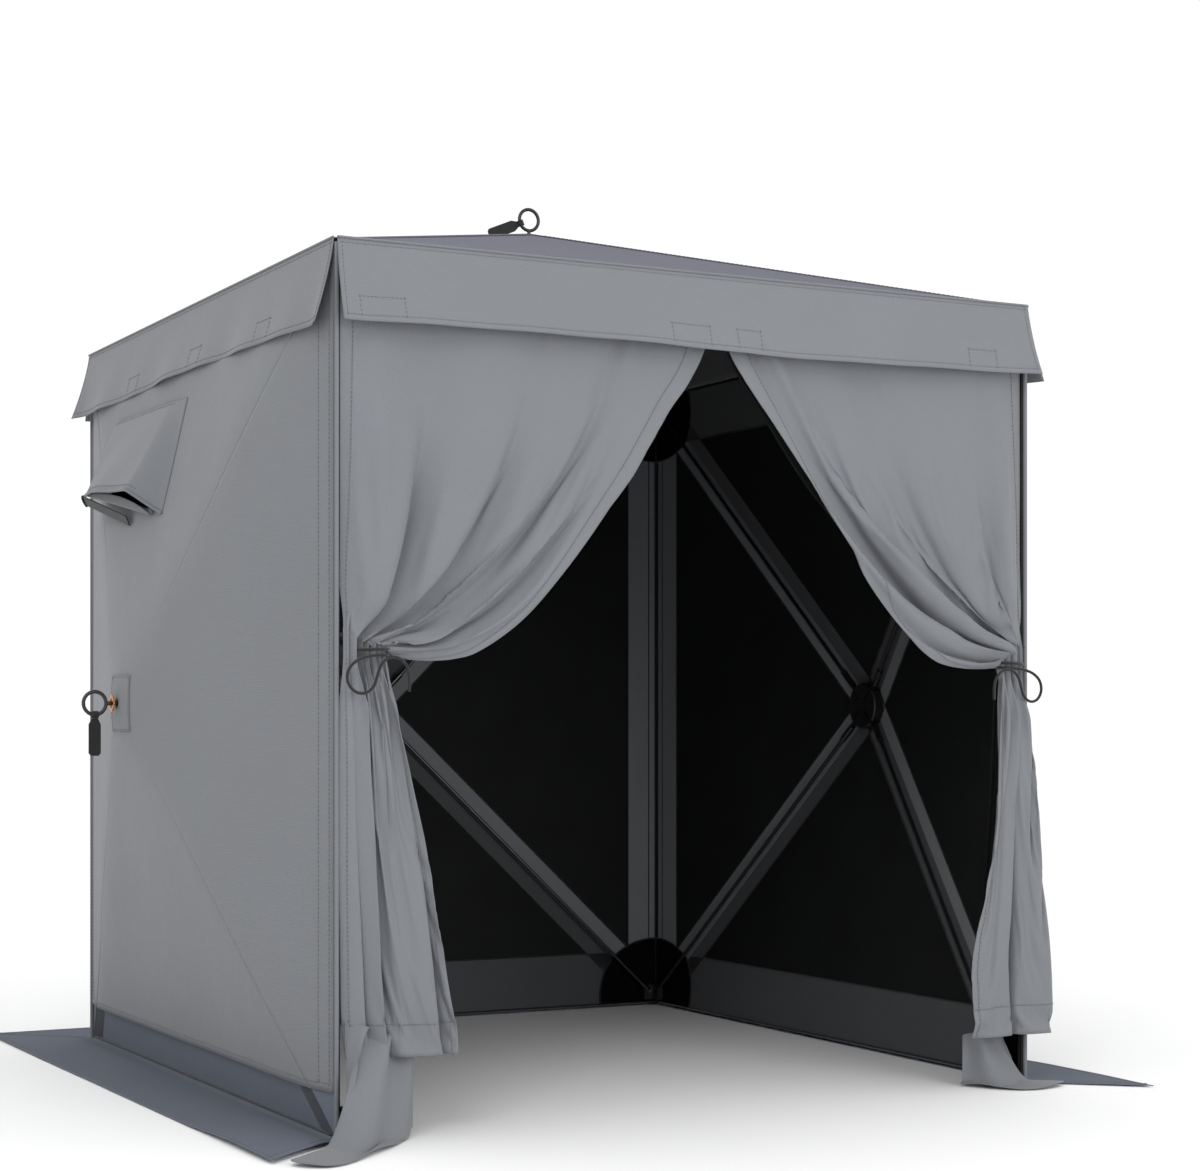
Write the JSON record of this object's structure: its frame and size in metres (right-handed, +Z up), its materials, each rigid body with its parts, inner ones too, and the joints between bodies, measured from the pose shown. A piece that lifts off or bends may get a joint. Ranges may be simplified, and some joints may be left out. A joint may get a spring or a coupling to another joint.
{
  "type": "privacy shower tent",
  "caption": "Square pop-up privacy shower tent on hub poles, open at the front with tied-back curtains, covered walls, a vent hood and pull rings",
  "frame": {"origin": "on the ground under the middle of the roof", "axes": "+Z up, +X to the right seen from the front, front (door) towards -Y"},
  "size_m": [2.427, 2.3914, 2.2665],
  "materials": {
    "cover_cloth": "matt grey polyester",
    "roof_cloth": "matt grey polyester, dark inside",
    "flap_cloth": "dark coated polyester",
    "mesh": "black mesh",
    "binding": "black binding tape",
    "webbing": "black webbing",
    "cord": "braided cord",
    "pole_fibreglass": "black fibreglass with metal ferrules",
    "hub_plastic": "moulded nylon",
    "socket_plastic": "moulded nylon",
    "ring_metal": "black coated steel, brass grommet"
  },
  "bodies": {
    "shelter": {"lower_corner_sockets": "socket_plastic", "upper_corner_sockets": "socket_plastic", "corner_seams": "binding", "valances": "cover_cloth", "ground_flaps": "flap_cloth", "curtain_left": "cover_cloth", "curtain_right": "cover_cloth", "mesh_door_left": "mesh", "mesh_door_right": "mesh", "tie_cord_left": "cord", "tie_cord_right": "cord", "cover_left": "cover_cloth", "cover_back": "cover_cloth", "cover_right": "cover_cloth"},
    "left_hub": {"hub_left": "hub_plastic", "pull_ring_left": "ring_metal"},
    "left_lower_back_pole": {"pole_left_lower_back": "pole_fibreglass"},
    "left_upper_back_pole": {"pole_left_upper_back": "pole_fibreglass"},
    "left_lower_front_pole": {"pole_left_lower_front": "pole_fibreglass"},
    "left_upper_front_pole": {"pole_left_upper_front": "pole_fibreglass"},
    "left_lower_cloth": {"screen_left_lower": "mesh"},
    "left_upper_cloth": {"screen_left_upper": "mesh"},
    "left_back_cloth": {"screen_left_back": "mesh"},
    "left_front_cloth": {"screen_left_front": "mesh"},
    "left_strap": {"strap_left": "webbing"},
    "back_hub": {"hub_back": "hub_plastic", "pull_ring_back": "ring_metal"},
    "back_lower_right_pole": {"pole_back_lower_right": "pole_fibreglass"},
    "back_upper_right_pole": {"pole_back_upper_right": "pole_fibreglass"},
    "back_lower_left_pole": {"pole_back_lower_left": "pole_fibreglass"},
    "back_upper_left_pole": {"pole_back_upper_left": "pole_fibreglass"},
    "back_lower_cloth": {"screen_back_lower": "mesh"},
    "back_upper_cloth": {"screen_back_upper": "mesh"},
    "back_right_cloth": {"screen_back_right": "mesh"},
    "back_left_cloth": {"screen_back_left": "mesh"},
    "back_strap": {"strap_back": "webbing"},
    "right_hub": {"hub_right": "hub_plastic", "pull_ring_right": "ring_metal"},
    "right_lower_front_pole": {"pole_right_lower_front": "pole_fibreglass"},
    "right_upper_front_pole": {"pole_right_upper_front": "pole_fibreglass"},
    "right_lower_back_pole": {"pole_right_lower_back": "pole_fibreglass"},
    "right_upper_back_pole": {"pole_right_upper_back": "pole_fibreglass"},
    "right_lower_cloth": {"screen_right_lower": "mesh"},
    "right_upper_cloth": {"screen_right_upper": "mesh"},
    "right_front_cloth": {"screen_right_front": "mesh"},
    "right_back_cloth": {"screen_right_back": "mesh"},
    "right_strap": {"strap_right": "webbing"},
    "roof_hub": {"hub_roof": "hub_plastic", "pull_ring_roof": "ring_metal"},
    "roof_front_left_pole": {"pole_roof_front_left": "pole_fibreglass"},
    "roof_back_left_pole": {"pole_roof_back_left": "pole_fibreglass"},
    "roof_front_right_pole": {"pole_roof_front_right": "pole_fibreglass"},
    "roof_back_right_pole": {"pole_roof_back_right": "pole_fibreglass"},
    "roof_front_cloth": {"roof_gore_front": "roof_cloth"},
    "roof_back_cloth": {"roof_gore_back": "roof_cloth"},
    "roof_left_cloth": {"roof_gore_left": "roof_cloth"},
    "roof_right_cloth": {"roof_gore_right": "roof_cloth"},
    "roof_strap": {"strap_roof": "webbing"},
    "vent_hood_body": {"vent_hood": "cover_cloth", "hood_stay": "webbing"}
  },
  "joints": [
    {"name": "left_hub_pop", "type": "slide", "parent": "shelter", "child": "left_hub", "axis": [-1, 0, 0], "range_m": [-0.4, 0], "deforming": ["cover_left"]},
    {"name": "left_lower_back_pole_tilt", "type": "hinge", "parent": "shelter", "child": "left_lower_back_pole", "pos_m": [-0.89015, 0.874, 0.045], "axis": [0, -0.7174, -0.6967], "range_deg": [-18.83, 0.01]},
    {"name": "left_upper_back_pole_tilt", "type": "hinge", "parent": "shelter", "child": "left_upper_back_pole", "pos_m": [-0.89015, 0.874, 1.892], "axis": [0, 0.7349, -0.6782], "range_deg": [-18.32, 0.01]},
    {"name": "left_lower_front_pole_tilt", "type": "hinge", "parent": "shelter", "child": "left_lower_front_pole", "pos_m": [-0.89015, -0.874, 0.045], "axis": [0, -0.7174, 0.6967], "range_deg": [-18.83, 0.01]},
    {"name": "left_upper_front_pole_tilt", "type": "hinge", "parent": "shelter", "child": "left_upper_front_pole", "pos_m": [-0.89015, -0.874, 1.892], "axis": [0, 0.7349, 0.6782], "range_deg": [-18.32, 0.01]},
    {"name": "left_lower_cloth_tilt", "type": "hinge", "parent": "shelter", "child": "left_lower_cloth", "pos_m": [-0.915, 0, 0.012], "axis": [0, -1, 0], "range_deg": [-24.21, 0.01]},
    {"name": "left_upper_cloth_tilt", "type": "hinge", "parent": "shelter", "child": "left_upper_cloth", "pos_m": [-0.915, 0, 1.925], "axis": [0, 1, 0], "range_deg": [-23.08, 0.01]},
    {"name": "left_back_cloth_tilt", "type": "hinge", "parent": "shelter", "child": "left_back_cloth", "pos_m": [-0.915, 0.907, 0.945], "axis": [0, 0, -1], "range_deg": [-24.88, 0.01]},
    {"name": "left_front_cloth_tilt", "type": "hinge", "parent": "shelter", "child": "left_front_cloth", "pos_m": [-0.915, -0.907, 0.945], "axis": [0, 0, 1], "range_deg": [-24.88, 0.01]},
    {"name": "left_strap_swing", "type": "hinge", "parent": "left_hub", "child": "left_strap", "pos_m": [-1.181, 0, 0.917], "axis": [-1, 0, 0], "range_deg": [-80, 80]},
    {"name": "back_hub_pop", "type": "slide", "parent": "shelter", "child": "back_hub", "axis": [0, 1, 0], "range_m": [-0.4, 0], "deforming": ["cover_back"]},
    {"name": "back_lower_right_pole_tilt", "type": "hinge", "parent": "shelter", "child": "back_lower_right_pole", "pos_m": [0.874, 0.89015, 0.045], "axis": [-0.7174, 0, -0.6967], "range_deg": [-18.83, 0.01]},
    {"name": "back_upper_right_pole_tilt", "type": "hinge", "parent": "shelter", "child": "back_upper_right_pole", "pos_m": [0.874, 0.89015, 1.892], "axis": [0.7349, 0, -0.6782], "range_deg": [-18.32, 0.01]},
    {"name": "back_lower_left_pole_tilt", "type": "hinge", "parent": "shelter", "child": "back_lower_left_pole", "pos_m": [-0.874, 0.89015, 0.045], "axis": [-0.7174, 0, 0.6967], "range_deg": [-18.83, 0.01]},
    {"name": "back_upper_left_pole_tilt", "type": "hinge", "parent": "shelter", "child": "back_upper_left_pole", "pos_m": [-0.874, 0.89015, 1.892], "axis": [0.7349, 0, 0.6782], "range_deg": [-18.32, 0.01]},
    {"name": "back_lower_cloth_tilt", "type": "hinge", "parent": "shelter", "child": "back_lower_cloth", "pos_m": [0, 0.915, 0.012], "axis": [-1, 0, 0], "range_deg": [-24.21, 0.01]},
    {"name": "back_upper_cloth_tilt", "type": "hinge", "parent": "shelter", "child": "back_upper_cloth", "pos_m": [0, 0.915, 1.925], "axis": [1, 0, 0], "range_deg": [-23.08, 0.01]},
    {"name": "back_right_cloth_tilt", "type": "hinge", "parent": "shelter", "child": "back_right_cloth", "pos_m": [0.907, 0.915, 0.945], "axis": [0, 0, -1], "range_deg": [-24.88, 0.01]},
    {"name": "back_left_cloth_tilt", "type": "hinge", "parent": "shelter", "child": "back_left_cloth", "pos_m": [-0.907, 0.915, 0.945], "axis": [0, 0, 1], "range_deg": [-24.88, 0.01]},
    {"name": "back_strap_swing", "type": "hinge", "parent": "back_hub", "child": "back_strap", "pos_m": [0, 1.181, 0.917], "axis": [0, 1, 0], "range_deg": [-80, 80]},
    {"name": "right_hub_pop", "type": "slide", "parent": "shelter", "child": "right_hub", "axis": [1, 0, 0], "range_m": [-0.4, 0], "deforming": ["cover_right"]},
    {"name": "right_lower_front_pole_tilt", "type": "hinge", "parent": "shelter", "child": "right_lower_front_pole", "pos_m": [0.89015, -0.874, 0.045], "axis": [0, 0.7174, -0.6967], "range_deg": [-18.83, 0.01]},
    {"name": "right_upper_front_pole_tilt", "type": "hinge", "parent": "shelter", "child": "right_upper_front_pole", "pos_m": [0.89015, -0.874, 1.892], "axis": [0, -0.7349, -0.6782], "range_deg": [-18.32, 0.01]},
    {"name": "right_lower_back_pole_tilt", "type": "hinge", "parent": "shelter", "child": "right_lower_back_pole", "pos_m": [0.89015, 0.874, 0.045], "axis": [0, 0.7174, 0.6967], "range_deg": [-18.83, 0.01]},
    {"name": "right_upper_back_pole_tilt", "type": "hinge", "parent": "shelter", "child": "right_upper_back_pole", "pos_m": [0.89015, 0.874, 1.892], "axis": [0, -0.7349, 0.6782], "range_deg": [-18.32, 0.01]},
    {"name": "right_lower_cloth_tilt", "type": "hinge", "parent": "shelter", "child": "right_lower_cloth", "pos_m": [0.915, 0, 0.012], "axis": [0, 1, 0], "range_deg": [-24.21, 0.01]},
    {"name": "right_upper_cloth_tilt", "type": "hinge", "parent": "shelter", "child": "right_upper_cloth", "pos_m": [0.915, 0, 1.925], "axis": [0, -1, 0], "range_deg": [-23.08, 0.01]},
    {"name": "right_front_cloth_tilt", "type": "hinge", "parent": "shelter", "child": "right_front_cloth", "pos_m": [0.915, -0.907, 0.945], "axis": [0, 0, -1], "range_deg": [-24.88, 0.01]},
    {"name": "right_back_cloth_tilt", "type": "hinge", "parent": "shelter", "child": "right_back_cloth", "pos_m": [0.915, 0.907, 0.945], "axis": [0, 0, 1], "range_deg": [-24.88, 0.01]},
    {"name": "right_strap_swing", "type": "hinge", "parent": "right_hub", "child": "right_strap", "pos_m": [1.181, 0, 0.917], "axis": [1, 0, 0], "range_deg": [-80, 80]},
    {"name": "roof_hub_pop", "type": "slide", "parent": "shelter", "child": "roof_hub", "axis": [0, 0, 1], "range_m": [-0.52, 0]},
    {"name": "roof_front_left_pole_tilt", "type": "hinge", "parent": "shelter", "child": "roof_front_left_pole", "pos_m": [-0.874, -0.874, 1.90845], "axis": [0.7071, -0.7071, 0], "range_deg": [-24.7, 0.01]},
    {"name": "roof_back_left_pole_tilt", "type": "hinge", "parent": "shelter", "child": "roof_back_left_pole", "pos_m": [-0.874, 0.874, 1.90845], "axis": [-0.7071, -0.7071, 0], "range_deg": [-24.7, 0.01]},
    {"name": "roof_front_right_pole_tilt", "type": "hinge", "parent": "shelter", "child": "roof_front_right_pole", "pos_m": [0.874, -0.874, 1.90845], "axis": [0.7071, 0.7071, 0], "range_deg": [-24.7, 0.01]},
    {"name": "roof_back_right_pole_tilt", "type": "hinge", "parent": "shelter", "child": "roof_back_right_pole", "pos_m": [0.874, 0.874, 1.90845], "axis": [-0.7071, 0.7071, 0], "range_deg": [-24.7, 0.01]},
    {"name": "roof_front_cloth_tilt", "type": "hinge", "parent": "shelter", "child": "roof_front_cloth", "pos_m": [0, -0.907, 1.937], "axis": [1, 0, 0], "range_deg": [-32, 0.01]},
    {"name": "roof_back_cloth_tilt", "type": "hinge", "parent": "shelter", "child": "roof_back_cloth", "pos_m": [0, 0.907, 1.937], "axis": [-1, 0, 0], "range_deg": [-32, 0.01]},
    {"name": "roof_left_cloth_tilt", "type": "hinge", "parent": "shelter", "child": "roof_left_cloth", "pos_m": [-0.907, 0, 1.937], "axis": [0, -1, 0], "range_deg": [-32, 0.01]},
    {"name": "roof_right_cloth_tilt", "type": "hinge", "parent": "shelter", "child": "roof_right_cloth", "pos_m": [0.907, 0, 1.937], "axis": [0, 1, 0], "range_deg": [-32, 0.01]},
    {"name": "roof_strap_swing", "type": "hinge", "parent": "roof_hub", "child": "roof_strap", "pos_m": [0, 0, 2.234], "axis": [0, 1, 0], "range_deg": [-0.01, 36.01]},
    {"name": "vent_hood_tilt", "type": "hinge", "parent": "left_upper_cloth", "child": "vent_hood_body", "pos_m": [-0.98369, 0.19, 1.68969], "axis": [0, 1, 0], "range_deg": [-8, 0]}
  ],
  "couplings": [
    {"joint": "left_lower_back_pole_tilt", "follows": "left_hub_pop", "rad_per_m": 0.82129},
    {"joint": "left_upper_back_pole_tilt", "follows": "left_hub_pop", "rad_per_m": 0.79909},
    {"joint": "left_lower_front_pole_tilt", "follows": "left_hub_pop", "rad_per_m": 0.82129},
    {"joint": "left_upper_front_pole_tilt", "follows": "left_hub_pop", "rad_per_m": 0.79909},
    {"joint": "left_lower_cloth_tilt", "follows": "left_hub_pop", "rad_per_m": 1.0558},
    {"joint": "left_upper_cloth_tilt", "follows": "left_hub_pop", "rad_per_m": 1.0066},
    {"joint": "left_back_cloth_tilt", "follows": "left_hub_pop", "rad_per_m": 1.0852},
    {"joint": "left_front_cloth_tilt", "follows": "left_hub_pop", "rad_per_m": 1.0852},
    {"joint": "back_lower_right_pole_tilt", "follows": "back_hub_pop", "rad_per_m": 0.82129},
    {"joint": "back_upper_right_pole_tilt", "follows": "back_hub_pop", "rad_per_m": 0.79909},
    {"joint": "back_lower_left_pole_tilt", "follows": "back_hub_pop", "rad_per_m": 0.82129},
    {"joint": "back_upper_left_pole_tilt", "follows": "back_hub_pop", "rad_per_m": 0.79909},
    {"joint": "back_lower_cloth_tilt", "follows": "back_hub_pop", "rad_per_m": 1.0558},
    {"joint": "back_upper_cloth_tilt", "follows": "back_hub_pop", "rad_per_m": 1.0066},
    {"joint": "back_right_cloth_tilt", "follows": "back_hub_pop", "rad_per_m": 1.0852},
    {"joint": "back_left_cloth_tilt", "follows": "back_hub_pop", "rad_per_m": 1.0852},
    {"joint": "right_lower_front_pole_tilt", "follows": "right_hub_pop", "rad_per_m": 0.82129},
    {"joint": "right_upper_front_pole_tilt", "follows": "right_hub_pop", "rad_per_m": 0.79909},
    {"joint": "right_lower_back_pole_tilt", "follows": "right_hub_pop", "rad_per_m": 0.82129},
    {"joint": "right_upper_back_pole_tilt", "follows": "right_hub_pop", "rad_per_m": 0.79909},
    {"joint": "right_lower_cloth_tilt", "follows": "right_hub_pop", "rad_per_m": 1.0558},
    {"joint": "right_upper_cloth_tilt", "follows": "right_hub_pop", "rad_per_m": 1.0066},
    {"joint": "right_front_cloth_tilt", "follows": "right_hub_pop", "rad_per_m": 1.0852},
    {"joint": "right_back_cloth_tilt", "follows": "right_hub_pop", "rad_per_m": 1.0852},
    {"joint": "roof_front_left_pole_tilt", "follows": "roof_hub_pop", "rad_per_m": 0.82861},
    {"joint": "roof_back_left_pole_tilt", "follows": "roof_hub_pop", "rad_per_m": 0.82861},
    {"joint": "roof_front_right_pole_tilt", "follows": "roof_hub_pop", "rad_per_m": 0.82861},
    {"joint": "roof_back_right_pole_tilt", "follows": "roof_hub_pop", "rad_per_m": 0.82861},
    {"joint": "roof_front_cloth_tilt", "follows": "roof_hub_pop", "rad_per_m": 1.0737},
    {"joint": "roof_back_cloth_tilt", "follows": "roof_hub_pop", "rad_per_m": 1.0737},
    {"joint": "roof_left_cloth_tilt", "follows": "roof_hub_pop", "rad_per_m": 1.0737},
    {"joint": "roof_right_cloth_tilt", "follows": "roof_hub_pop", "rad_per_m": 1.0737},
    {"joint": "roof_strap_swing", "follows": "roof_hub_pop", "rad_per_m": -1.2083}
  ]
}
